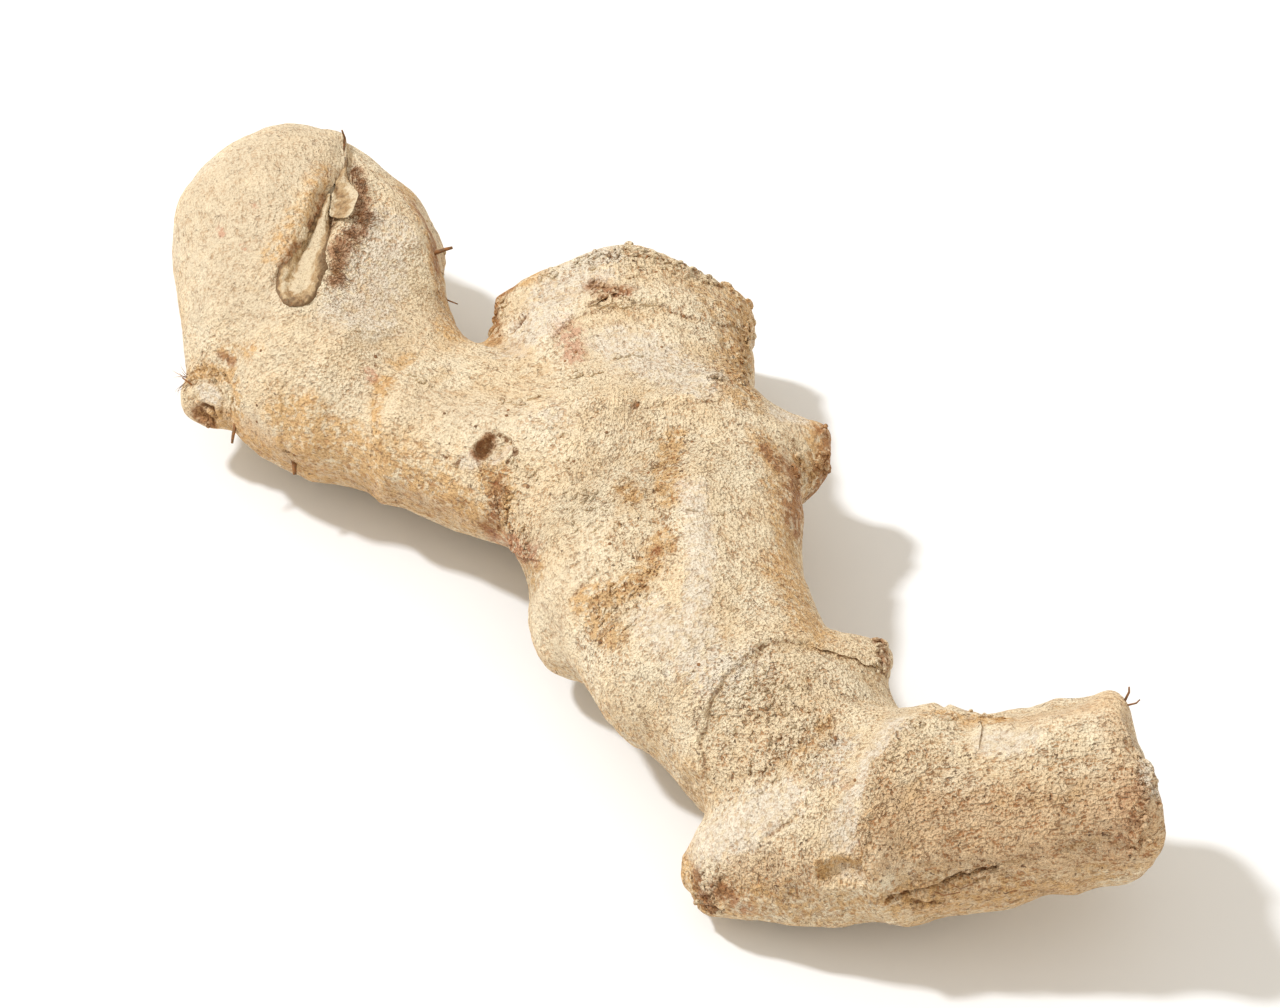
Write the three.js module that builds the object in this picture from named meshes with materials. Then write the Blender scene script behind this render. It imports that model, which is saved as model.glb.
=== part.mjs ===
// Ginger rhizome ("hand" of ginger root), lying on a table.
//
// Millimetres, +Z up. The rhizome grew as one piece, so it is one solid. A thick trunk runs from a
// broken stub at the back (+Y) to the front, where it turns into a finger that points right (+X).
// An arm leaves the trunk to the left and swells into a big round lobe. Small knobs, buds and a
// nub sit on the flanks. It rests on three small flats: under the lobe, the back of the trunk and
// the node where the finger starts.
//
// The body is a blend of limbs. Each limb is a row of spheres of changing size along a spline,
// with leaf-scar rings that run round it. The blend's surface is meshed on a grid of cells.
import * as THREE from "three";
import { ImprovedNoise } from "three/addons/math/ImprovedNoise.js";

// ---- Driving dimensions
const CELL = 2.5; // spacing of the grid that the surface is meshed on
const FLATTEN = 0.88; // height of a limb's section over its width
const RELAX_ROUNDS = 4; // times that the mesh is evened out
const STEPS_PER_SPAN = 5; // spheres between two knots of a limb
const RING_HEIGHT = 0.8; // how far a leaf-scar ring stands proud
const RING_WIDTH = 1.6; // its half-width along the limb
const RING_WOBBLE = 1.5; // how far it strays from its plane
const WOBBLE_SIZE = 9; // length of one stray
const LUMPS = [
  { size: 17, height: 1.1 }, // swellings of the flesh
  { size: 7, height: 0.35 }, // shrinkage of the skin
];

// ---- Limbs: knots are [x, y, z, radius] along the spine, blend is how far the limb melts into
// the limbs listed before it
const LIMBS = {
  trunk: {
    knots: [
      [-3.5, 42.5, 14, 14.5],
      [-1.5, 22.5, 13.5, 16],
      [4.5, 1.5, 15.5, 15.5],
      [5.5, -14.5, 16, 15],
      [10.5, -30.5, 15.5, 14.5],
    ],
    blend: 7,
  },
  leftStrand: {
    knots: [
      [-8.5, 7, 17, 13],
      [-4.5, -14.5, 17, 11],
      [4, -31.5, 15.5, 12],
    ],
    blend: 4,
  },
  rightStrand: {
    knots: [
      [10, 11, 19, 10.5],
      [11.5, -4, 19, 11],
      [12, -19, 18, 11],
      [15.5, -31.5, 17, 11.5],
    ],
    blend: 4,
  },
  node: {
    knots: [
      [15.5, -37.5, 15, 15],
      [22, -43.5, 12.5, 15.5],
      [27, -54.5, 13, 13],
    ],
    blend: 2.5,
  },
  spur: {
    knots: [
      [25, -37, 18, 8.5],
      [32.5, -31, 18, 3],
    ],
    blend: 1.5,
  },
  finger: {
    knots: [
      [30, -57.5, 14.5, 13],
      [38.5, -58, 16, 15],
      [47.5, -59.5, 18, 13.5],
      [57, -58, 20.5, 14],
      [68.5, -58.5, 22.5, 14],
    ],
    blend: 2.5,
  },
  heel: {
    knots: [
      [30, -63, 10.5, 8.5],
      [34.5, -65, 12, 7.5],
    ],
    blend: 4,
  },
  arm: {
    knots: [
      [-9.5, 6.5, 16, 12.5],
      [-22, 13.5, 15.5, 14],
      [-34.5, 22, 15, 14],
      [-47.5, 28, 15, 13.5],
    ],
    blend: 5,
  },
  lobe: {
    knots: [
      [-47.5, 28, 15, 14],
      [-45.5, 40, 15, 18],
      [-44.5, 51, 15, 18],
    ],
    blend: 6,
  },
  cap: {
    knots: [
      [-55, 37, 16, 13.5],
      [-53.5, 50.5, 17.5, 17],
      [-53.5, 56, 18, 18],
    ],
    blend: 1.5,
  },
  stubLeft: {
    knots: [
      [-12.5, 42, 13.5, 11.5],
      [-9, 21, 15, 12.5],
    ],
    blend: 1.5,
  },
  stubRight: {
    knots: [
      [5, 42, 13, 11.5],
      [2.5, 25, 15, 13.5],
    ],
    blend: 2,
  },
  knob: {
    knots: [
      [13.5, 7.5, 17, 9.5],
      [19.5, 10, 17, 7.5],
      [24.5, 11.5, 17, 5.5],
    ],
    blend: 3,
  },
  shoulder: {
    knots: [
      [1.5, -19.5, 16, 12.5],
      [-7.5, -19, 12, 8.5],
    ],
    blend: 3,
  },
  nub: {
    knots: [
      [24.5, -61, 12, 11],
      [15.5, -61, 9, 8.5],
      [11.5, -61.5, 7.5, 6.5],
    ],
    blend: 4,
  },
  bud: {
    knots: [
      [-55, 28.5, 14, 8],
      [-63.5, 27, 12, 5],
    ],
    blend: 1.2,
  },
};

// ---- Leaf-scar rings: the skin stands proud along the plane through at, square to facing
const RINGS = {
  stub: { at: [-3, 36.5, 13.5], facing: [-0.1, 0.95, 0.2], reach: 24 },
  shoulder: { at: [1, 12, 16], facing: [0.1, 0.95, 0.25], reach: 24 },
  armInner: { at: [-34, 18.5, 15], facing: [0.95, -0.35, 0], reach: 19 },
  armOuter: { at: [-44.5, 22, 15], facing: [0.9, -0.45, 0], reach: 17 },
  node: { at: [24.5, -51.5, 22.5], facing: [-0.3, 0.75, -0.6], reach: 20 },
  collar: { at: [37, -60, 17.5], facing: [0.85, -0.35, 0.35], reach: 19 },
  finger: { at: [57, -58, 20.5], facing: [0.95, -0.05, 0.25], reach: 19 },
};

// ---- Relief: ridges (height over 0) and grooves or pits (under 0) along a path on the skin
const RELIEF = {
  ridge: {
    path: [[7, -4, 30], [7, -27.5, 30], [5.5, -43, 26]],
    width: 4,
    height: 1.4,
  },
  valley: {
    path: [[1, -1.5, 27.5], [-1.5, -20, 28], [-6, -29.5, 23]],
    width: 4.5,
    height: -1,
  },
  crevice: {
    path: [[-45, 61.5, 29.5], [-46, 51.5, 31], [-49, 43.5, 29], [-51.5, 33.5, 28]],
    width: 2,
    height: -3,
  },
  rootScar: {
    path: [[-21, 4.5, 24.5]],
    width: 2.6,
    height: -2.2,
  },
  budScar: {
    path: [[-65.5, 24.5, 12.5]],
    width: 2.2,
    height: -2.2,
  },
  crease: {
    path: [[33.5, -73, 16], [42, -72.5, 19], [47, -72, 21]],
    width: 1.8,
    height: -1.1,
  },
};

// ---- Broken ends: past the plane through at the flesh is gone, and rim rounds the edge
const CUTS = {
  stub: { at: [-1.5, 49, 13.5], facing: [0.2, 0.95, 0.15], reach: 24, rim: 1.6 },
  stubCorner: { at: [-15, 46, 13.5], facing: [-0.25, 0.95, 0.15], reach: 13, rim: 1.6 },
  finger: { at: [68.5, -58, 22.5], facing: [0.95, 0.2, 0.15], reach: 18, rim: 2 },
  fingerHeel: { at: [69, -68, 17], facing: [0.85, -0.35, -0.4], reach: 12, rim: 2 },
  knob: { at: [27.5, 11.5, 17], facing: [0.95, -0.1, -0.2], reach: 7, rim: 1 },
  nub: { at: [6.5, -62, 7], facing: [-0.85, -0.5, 0.1], reach: 7, rim: 1 },
};

// ---- The limb as a chain of tapered segments
function makeLimb({ knots, blend }) {
  const spine = knots.map(([x, y, z]) => new THREE.Vector3(x, y, z));
  const line = new THREE.CatmullRomCurve3(spine, false, "catmullrom");
  const widths = new THREE.SplineCurve(knots.map((knot, i) => new THREE.Vector2(i, knot[3])));
  const count = (knots.length - 1) * STEPS_PER_SPAN;
  const beads = Array.from({ length: count + 1 }, (_, i) => ({
    centre: line.getPoint(i / count),
    radius: widths.getPoint(i / count).y,
  }));
  return { beads, blend };
}

const limbs = Object.values(LIMBS).map(makeLimb);
const reliefs = Object.values(RELIEF).map(({ path, width, height }) => {
  const points = path.map((point) => new THREE.Vector3(...point));
  const spans = points.slice(0, -1).map((point, i) => new THREE.Line3(point, points[i + 1]));
  return { spans: spans.length ? spans : [new THREE.Line3(points[0], points[0])], width, height };
});
const noise = new ImprovedNoise();

// Signed distance from (x, y, z) to a limb's skin, negative inside.
function limbDistance(limb, x, y, z) {
  let nearest = Infinity;
  for (let i = 1; i < limb.beads.length; i++) {
    const a = limb.beads[i - 1];
    const b = limb.beads[i];
    const abx = b.centre.x - a.centre.x;
    const aby = b.centre.y - a.centre.y;
    const abz = (b.centre.z - a.centre.z) / FLATTEN;
    const apx = x - a.centre.x;
    const apy = y - a.centre.y;
    const apz = (z - a.centre.z) / FLATTEN;
    const along = (apx * abx + apy * aby + apz * abz) / (abx * abx + aby * aby + abz * abz);
    const t = Math.min(1, Math.max(0, along));
    const radius = a.radius + t * (b.radius - a.radius);
    nearest = Math.min(nearest, Math.hypot(apx - t * abx, apy - t * aby, apz - t * abz) - radius);
  }
  return nearest;
}

// Union of a and b that melts them together where they are within k of each other.
function smoothMin(a, b, k) {
  const h = Math.max(k - Math.abs(a - b), 0) / k;
  return Math.min(a, b) - (h * h * k) / 4;
}

// How far past a plane (x, y, z) is, and how far from the plane's own middle.
function planeGap({ at, facing }, x, y, z) {
  const [dx, dy, dz] = [x - at[0], y - at[1], z - at[2]];
  const length = Math.hypot(...facing);
  return {
    past: (dx * facing[0] + dy * facing[1] + dz * facing[2]) / length,
    away: Math.hypot(dx, dy, dz),
  };
}

function ringWobble(x, y, z) {
  return RING_WOBBLE * noise.noise(x / WOBBLE_SIZE, y / WOBBLE_SIZE, z / WOBBLE_SIZE);
}

function ringRelief(x, y, z) {
  return Object.values(RINGS).reduce((sum, ring) => {
    const { past, away } = planeGap(ring, x, y, z);
    const fade = THREE.MathUtils.smoothstep(ring.reach - away, 0, 3);
    return sum + fade * RING_HEIGHT * Math.exp(-(((past + ringWobble(x, y, z)) / RING_WIDTH) ** 2));
  }, 0);
}

function pathRelief(x, y, z) {
  const point = new THREE.Vector3(x, y, z);
  const nearest = new THREE.Vector3();
  return reliefs.reduce((sum, { spans, width, height }) => {
    const gaps = spans.map((span) => span.closestPointToPoint(point, true, nearest).distanceTo(point));
    const away = Math.min(...gaps);
    return sum + height * Math.exp(-((away / width) ** 2));
  }, 0);
}

function lumps(x, y, z) {
  return LUMPS.reduce((sum, { size, height }) => {
    return sum + height * noise.noise(x / size, y / size, z / size);
  }, 0);
}

function field(x, y, z) {
  let f = limbDistance(limbs[0], x, y, z);
  for (const limb of limbs.slice(1)) f = smoothMin(f, limbDistance(limb, x, y, z), limb.blend);
  f -= ringRelief(x, y, z) + pathRelief(x, y, z) + lumps(x, y, z);
  for (const cut of Object.values(CUTS)) {
    const { past, away } = planeGap(cut, x, y, z);
    f = -smoothMin(-f, Math.max(-past, away - cut.reach), cut.rim);
  }
  return f;
}

// ---- Meshing: one vertex in each cell that the surface crosses, one quad on each crossed edge
function gradient(p) {
  const e = 0.05;
  return new THREE.Vector3(
    field(p.x + e, p.y, p.z) - field(p.x - e, p.y, p.z),
    field(p.x, p.y + e, p.z) - field(p.x, p.y - e, p.z),
    field(p.x, p.y, p.z + e) - field(p.x, p.y, p.z - e),
  ).divideScalar(2 * e);
}

function pullToSurface(p) {
  for (let i = 0; i < 3; i++) {
    const g = gradient(p);
    p.addScaledVector(g, -field(p.x, p.y, p.z) / g.lengthSq());
  }
  return p;
}

function meshField() {
  const box = new THREE.Box3();
  for (const limb of limbs) {
    for (const { centre, radius } of limb.beads) {
      box.expandByPoint(centre.clone().addScalar(radius + 2 * CELL));
      box.expandByPoint(centre.clone().addScalar(-radius - 2 * CELL));
    }
  }
  const size = box.getSize(new THREE.Vector3()).divideScalar(CELL).ceil();
  const [nx, ny, nz] = [size.x + 1, size.y + 1, size.z + 1];
  const at = (i, j, k) => i + nx * (j + ny * k);
  const values = new Float64Array(nx * ny * nz);
  for (let k = 0; k < nz; k++) {
    for (let j = 0; j < ny; j++) {
      for (let i = 0; i < nx; i++) {
        values[at(i, j, k)] = field(box.min.x + i * CELL, box.min.y + j * CELL, box.min.z + k * CELL);
      }
    }
  }

  // Where the corners of a cell's face are in and out by turns, the skin would pinch to a point:
  // there the corner nearest the skin changes sides.
  const unpinch = (corners) => {
    const inside = corners.map((corner) => values[corner] < 0);
    if (inside[0] === inside[1] || inside[0] !== inside[2] || inside[1] !== inside[3]) return false;
    const depths = corners.map((corner) => Math.abs(values[corner]));
    values[corners[depths.indexOf(Math.min(...depths))]] *= -1;
    return true;
  };
  let pinched = true;
  while (pinched) {
    pinched = false;
    for (let k = 0; k < nz - 1; k++) {
      for (let j = 0; j < ny - 1; j++) {
        for (let i = 0; i < nx - 1; i++) {
          const [here, right, back, up] = [at(i, j, k), at(i + 1, j, k), at(i, j + 1, k), at(i, j, k + 1)];
          pinched = unpinch([here, right, at(i + 1, j + 1, k), back]) || pinched;
          pinched = unpinch([here, back, at(i, j + 1, k + 1), up]) || pinched;
          pinched = unpinch([here, up, at(i + 1, j, k + 1), right]) || pinched;
        }
      }
    }
  }

  const vertexOf = new Map();
  const positions = [];
  const cellVertex = (i, j, k) => {
    const key = at(i, j, k);
    if (vertexOf.has(key)) return vertexOf.get(key);
    const middle = new THREE.Vector3();
    let crossings = 0;
    for (let axis = 0; axis < 3; axis++) {
      for (let corner = 0; corner < 4; corner++) {
        const from = [i, j, k];
        from[(axis + 1) % 3] += corner & 1;
        from[(axis + 2) % 3] += corner >> 1;
        const to = [...from];
        to[axis] += 1;
        const a = values[at(...from)];
        const b = values[at(...to)];
        if (a < 0 === b < 0) continue;
        const point = new THREE.Vector3(...from);
        point.setComponent(axis, from[axis] + a / (a - b));
        middle.add(point);
        crossings++;
      }
    }
    middle.multiplyScalar(CELL / crossings).add(box.min);
    positions.push(pullToSurface(middle));
    vertexOf.set(key, positions.length - 1);
    return positions.length - 1;
  };

  const triangles = [];
  for (let k = 1; k < nz - 1; k++) {
    for (let j = 1; j < ny - 1; j++) {
      for (let i = 1; i < nx - 1; i++) {
        const inside = values[at(i, j, k)] < 0;
        for (let axis = 0; axis < 3; axis++) {
          const next = [i, j, k];
          next[axis] += 1;
          if (values[at(...next)] < 0 === inside) continue;
          const quad = [[0, 0], [-1, 0], [-1, -1], [0, -1]].map(([du, dv]) => {
            const cell = [i, j, k];
            cell[(axis + 1) % 3] += du;
            cell[(axis + 2) % 3] += dv;
            return cellVertex(...cell);
          });
          if (!inside) quad.reverse();
          const [a, b, c, d] = quad;
          const acShorter = positions[a].distanceTo(positions[c]) < positions[b].distanceTo(positions[d]);
          triangles.push(...(acShorter ? [a, b, c, a, c, d] : [a, b, d, b, c, d]));
        }
      }
    }
  }
  return { positions, triangles };
}

// Evens out the triangles: each vertex moves to the middle of its neighbours, then back to the
// surface, and in the last round those next to a ring line up with its crest.
function relax(positions, triangles) {
  const neighbours = positions.map(() => new Set());
  for (let i = 0; i < triangles.length; i += 3) {
    for (let corner = 0; corner < 3; corner++) {
      const from = triangles[i + corner];
      const to = triangles[i + ((corner + 1) % 3)];
      neighbours[from].add(to);
      neighbours[to].add(from);
    }
  }
  for (let round = 0; round < RELAX_ROUNDS; round++) {
    const middles = neighbours.map((around) => {
      const middle = new THREE.Vector3();
      for (const n of around) middle.add(positions[n]);
      return middle.divideScalar(around.size);
    });
    positions.forEach((p, i) => {
      p.lerp(middles[i], 0.5);
      if (round === RELAX_ROUNDS - 1) snapToRing(p);
      pullToSurface(p);
    });
  }
}

function snapToRing(p) {
  for (const ring of Object.values(RINGS)) {
    const { past, away } = planeGap(ring, p.x, p.y, p.z);
    const offset = past + ringWobble(p.x, p.y, p.z);
    if (away > ring.reach || Math.abs(offset) > CELL / 2) continue;
    p.addScaledVector(new THREE.Vector3(...ring.facing).normalize(), -offset);
  }
}

// ---- The solid
const { positions, triangles } = meshField();
relax(positions, triangles);
for (const p of positions) p.z = Math.max(p.z, 0); // pressed flat where it rests
const geometry = new THREE.BufferGeometry().setFromPoints(positions).setIndex(triangles);
geometry.computeBoundingBox();
const middle = geometry.boundingBox.getCenter(new THREE.Vector3());
geometry.translate(-middle.x, -middle.y, 0);
geometry.computeVertexNormals();

const skin = new THREE.MeshStandardMaterial({ color: 0xe0c9a4, roughness: 0.85, metalness: 0 });
const rhizome = new THREE.Mesh(geometry, skin);
rhizome.name = "ginger_rhizome";

const ginger = new THREE.Group();
ginger.add(rhizome);
export default ginger;
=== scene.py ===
"""Looks of the ginger root: skin, papery bract, hairs, rootlets and shreds, on a pale floor.

Lengths are in millimetres and turned to metres where Blender is handed them. The marks on the skin
are named by the pixels where the photograph (1280 x 1008) shows them, and a ray from the camera
that took it finds each one's place on the root.
"""
import itertools
import math
from collections import namedtuple

import bmesh
import bpy
import numpy as np
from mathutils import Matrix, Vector
from mathutils.bvhtree import BVHTree


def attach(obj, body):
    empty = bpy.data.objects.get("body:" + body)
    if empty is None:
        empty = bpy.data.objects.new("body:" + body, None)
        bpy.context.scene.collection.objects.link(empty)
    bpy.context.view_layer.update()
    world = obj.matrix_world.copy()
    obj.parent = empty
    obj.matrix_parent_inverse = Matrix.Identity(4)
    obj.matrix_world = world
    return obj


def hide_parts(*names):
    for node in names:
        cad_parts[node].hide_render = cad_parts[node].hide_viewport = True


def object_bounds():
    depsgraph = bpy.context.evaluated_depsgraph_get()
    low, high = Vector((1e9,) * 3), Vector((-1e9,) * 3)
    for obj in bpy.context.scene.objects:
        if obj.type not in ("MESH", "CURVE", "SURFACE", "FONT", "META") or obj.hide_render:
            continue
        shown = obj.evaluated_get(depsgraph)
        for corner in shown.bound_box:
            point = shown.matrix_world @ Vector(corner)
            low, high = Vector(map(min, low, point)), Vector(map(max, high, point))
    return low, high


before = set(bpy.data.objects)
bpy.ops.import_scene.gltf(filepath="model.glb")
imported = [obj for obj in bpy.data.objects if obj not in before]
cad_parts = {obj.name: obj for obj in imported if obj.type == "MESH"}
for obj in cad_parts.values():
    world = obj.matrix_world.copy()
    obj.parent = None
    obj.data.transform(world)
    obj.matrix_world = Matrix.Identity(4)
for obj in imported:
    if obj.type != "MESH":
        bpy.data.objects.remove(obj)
cad_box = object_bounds()

MM = 0.001

# ---- The photograph's camera: AIM is at AIM_PIXEL, seen from DISTANCE away, looking down by TILT
AIM = Vector((3.8, -5.5, 18))
AIM_PIXEL = (308, 662)
DISTANCE = 786
TILT = math.radians(45)
FOCAL = 3022  # in pixels

FORWARD = Vector((0, math.cos(TILT), -math.sin(TILT)))
RIGHT = Vector((1, 0, 0))
UP = RIGHT.cross(FORWARD)
EYE = AIM - FORWARD * DISTANCE

# ---- What the tables hold: a run is a line of photograph pixels, and ink is how dark a mark is
Step = namedtuple("Step", "run height ink")
Stroke = namedtuple("Stroke", "run half_width depth ink")
Pit = namedtuple("Pit", "run radius depth ink")
Form = namedtuple("Form", "run reach height")
Zone = namedtuple("Zone", "run reach strength", defaults=[1])
Tuft = namedtuple("Tuft", "run spread number lean")
Fibre = namedtuple("Fibre", "run rise radius")
Flake = namedtuple("Flake", "run width lift")
Crumbs = namedtuple("Crumbs", "run spread number size", defaults=[1])

# ---- Marks on the skin
STEPS = {  # edges of old leaf scales: the skin left of the run is higher by the height
    "cap": Step([(131, 450), (131, 462), (123, 474), (118, 482), (115, 489), (110, 498), (104, 508),
        (98, 517), (93, 525)], -0.8, 0.5),
    "stub": Step([(247, 557), (255, 549), (272, 541), (290, 540), (305, 540), (318, 546),
        (343, 551)], 0.4, 0.5),
    "shoulder": Step([(287, 597), (310, 594), (335, 593), (355, 597)], 0.25, 0.35),
    "arm_outer": Step([(96, 588), (96, 605), (98, 622)], -0.2, 0.25),
    "arm_inner": Step([(176, 556), (161, 570), (149, 586), (147, 606), (152, 630)], 0.35, 0.4),
    "node": Step([(427, 741), (422, 737), (412, 733), (397, 729), (387, 726), (373, 724), (361, 726),
        (351, 733), (341, 743), (336, 753), (331, 763), (328, 776), (330, 790)], -0.5, 0.5),
    "collar": Step([(461, 762), (449, 767), (438, 770), (435, 778), (430, 785), (422, 793), (421, 800),
        (419, 813), (416, 825), (417, 837), (418, 846), (421, 862)], 0.8, 0.2),
    "bare_patch": Step([(511, 772), (513, 784), (513, 797)], 0.3, 0.25),
    "finger_scale": Step([(479, 765), (481, 773), (478, 783)], -0.3, 0.4),
}
STROKES = {  # creases, cracks and scratches
    "trunk_arc": Stroke([(339, 654), (349, 651), (357, 655)], 0.24, 0.25, 0.3),
    "trunk_scar": Stroke([(280, 644), (285, 639), (292, 638), (289, 646)], 0.4, 0.3, 0.5),
    "trunk_scratch": Stroke([(276, 668), (281, 662), (288, 658)], 0.32, 0.3, 0.5),
    "shoulder_scratch": Stroke([(256, 683), (267, 678)], 0.24, 0.2, 0.4),
    "shoulder_stroke": Stroke([(257, 700), (262, 693), (267, 689)], 0.28, 0.3, 0.5),
    "valley_mark": Stroke([(270, 716), (275, 712), (279, 705)], 0.32, 0.3, 0.5),
    "stub_pit_edge": Stroke([(269, 532), (277, 530)], 0.28, 0.5, 0.9),
    "stub_crack": Stroke([(265, 541), (274, 537)], 0.28, 0.5, 0.9),
    "stub_line": Stroke([(286, 526), (293, 524), (301, 522)], 0.24, 0.3, 0.45),
    "stub_nick": Stroke([(336, 539), (343, 535)], 0.28, 0.3, 0.5),
    "slit": Stroke([(223, 554), (229, 547)], 0.4, 0.6, 0.9),
    "node_groove": Stroke([(341, 764), (346, 771), (348, 779)], 0.28, 0.35, 0.4),
    "node_inner": Stroke([(365, 724), (361, 727), (358, 732), (357, 741), (359, 751)], 0.32, 0.35, 0.5),
    "node_mark": Stroke([(364, 761), (358, 766)], 0.32, 0.3, 0.7),
    "node_ridge": Stroke([(366, 777), (364, 785), (370, 795)], 0.28, -0.3, 0),
    "node_foot": Stroke([(344, 799), (353, 797), (361, 795)], 0.32, 0.3, 0.5),
    "heel_line": Stroke([(363, 832), (369, 827), (377, 822)], 0.4, 0.3, 0.6),
    "belly_crease": Stroke([(429, 864), (440, 861), (450, 858), (461, 856), (471, 852), (480, 849),
        (488, 848)], 0.32, 0.9, 0.8),
    "belly_branch": Stroke([(488, 848), (485, 852), (479, 855)], 0.28, 0.5, 0.6),
    "belly_fold": Stroke([(441, 865), (450, 868), (462, 866)], 0.32, 0.5, 0.6),
    "belly_nick": Stroke([(489, 861), (492, 860)], 0.32, 0.3, 0.7),
    "finger_nick": Stroke([(447, 846), (455, 846)], 0.32, 0.3, 0.4),
    "finger_line": Stroke([(470, 807), (482, 806)], 0.24, 0.2, 0.4),
    "lobe_line": Stroke([(54, 533), (53, 543), (52, 552)], 0.2, 0.15, 0.3),
    "arm_line": Stroke([(99, 621), (104, 623), (109, 624)], 0.28, 0.3, 0.6),
    "nub_ring": Stroke([(333, 849), (327, 853), (324, 862), (325, 870)], 0.32, 0.4, 0.7),
    "nub_ring_inner": Stroke([(339, 854), (332, 860), (331, 870)], 0.32, 0.35, 0.5),
    "root_scar_top": Stroke([(204, 618), (211, 613), (217, 612), (221, 615),
        (225, 620)], 0.36, 0.45, 1),
    "root_scar_foot": Stroke([(206, 631), (214, 630), (220, 627), (225, 622)], 0.3, 0.4, 0.8),
    "bud_slit": Stroke([(53, 596), (58, 598), (60, 603)], 0.4, 0.8, 1),
    "bud_ring": Stroke([(44, 580), (55, 576), (65, 580), (69, 592), (68, 604)], 0.32, 0.4, 0.3),
    "bud_core": Stroke([(50, 592), (53, 584), (60, 583), (64, 592), (63, 602)], 0.28, 0.35, 0.4),
}
PITS = {  # hollows
    "bract_bed": Pit([(121, 486), (117, 500), (111, 514), (106, 530)], 3.2, 0.9, 0.6),
    "root_scar": Pit([(206, 622), (210, 617)], 1.2, 0.6, 0.7),
    "root_scar_heart": Pit([(211, 622), (218, 619)], 2.2, 0.6, 0),
    "root_scar_side": Pit([(187, 624)], 0.5, 0.3, 0.9),
    "root_scar_end": Pit([(193, 628), (195, 624)], 0.6, 0.4, 0.8),
    "bud_hollow": Pit([(52, 600), (57, 605)], 1.3, 0.7, 0.5),
    "stub_pit": Pit([(268, 528), (273, 530)], 1.3, 0.6, 0.5),
    "stub_chip": Pit([(278, 535), (284, 535)], 0.8, 0.4, 0.6),
    "heel_dimple": Pit([(398, 851), (405, 849), (413, 850)], 1.9, 1.1, 0.1),
    "heel_hollow": Pit([(330, 871), (336, 872)], 0.9, 0.5, 0.6),
    "node_pit": Pit([(401, 778)], 0.7, 0.5, 0.8),
    "collar_scar": Pit([(408, 804), (411, 800)], 0.8, 0.3, 0.3),
    "shoulder_pit": Pit([(272, 725)], 0.8, 0.4, 0.5),
    "neck_pit": Pit([(291, 595)], 0.7, 0.4, 0.8),
    "arm_pit": Pit([(148, 570)], 0.6, 0.3, 0.6),
}
FORMS = {  # shallow swells and dips, which fade out at their reach
    "lobe_side": Form([(172, 470), (188, 490), (196, 510), (196, 530)], 16, -3.2),
    "finger_top": Form([(495, 756), (508, 752), (522, 750)], 9, -2.4),
    "finger_brow": Form([(566, 768), (568, 776)], 5, -1.2),
    "stub_corner": Form([(214, 536)], 3, 0.9),
    "stub_far_corner": Form([(346, 530)], 3.5, 0.8),
}
# Stretches of skin of one tint: mostly the skin's own colour, in some places painted shade. A row is a
# Zone's run, its reach, and its strength if not 1
PALE_ZONES = [
    ([(322, 640), (328, 670), (325, 690), (322, 715)], 2.2),  # trunk ridge
    ([(300, 712), (313, 722), (328, 720), (335, 745), (352, 735)], 4, 0.6),
    ([(322, 736), (334, 742)], 4),
    ([(406, 830), (410, 812), (421, 788), (434, 768)], 2.4, 0.9),
    ([(330, 832), (348, 824), (370, 812)], 4.5),  # heel
    ([(486, 778), (498, 780), (506, 776)], 3, 0.7),  # bare patch
    ([(398, 795), (405, 780)], 3, 0.7),
    ([(228, 558), (245, 538), (268, 516)], 5),  # left of the stub
    ([(368, 598), (380, 602)], 2.2),  # knob
    ([(150, 500), (140, 540)], 6),  # right half of the lobe
    ([(282, 560), (300, 572), (322, 580)], 5),  # stub
    ([(245, 600)], 5, 0.5),
    ([(180, 590), (240, 590), (270, 600)], 5, 0.15),  # arm
    ([(54, 588), (60, 592)], 1.4),  # heart of the bud
    ([(214, 625), (220, 620)], 1.1),  # root scar
    ([(198, 626), (202, 626)], 1.2),
    ([(405, 850), (413, 851)], 1.1),
    ([(571, 790), (575, 806)], 1.2),
]
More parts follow.
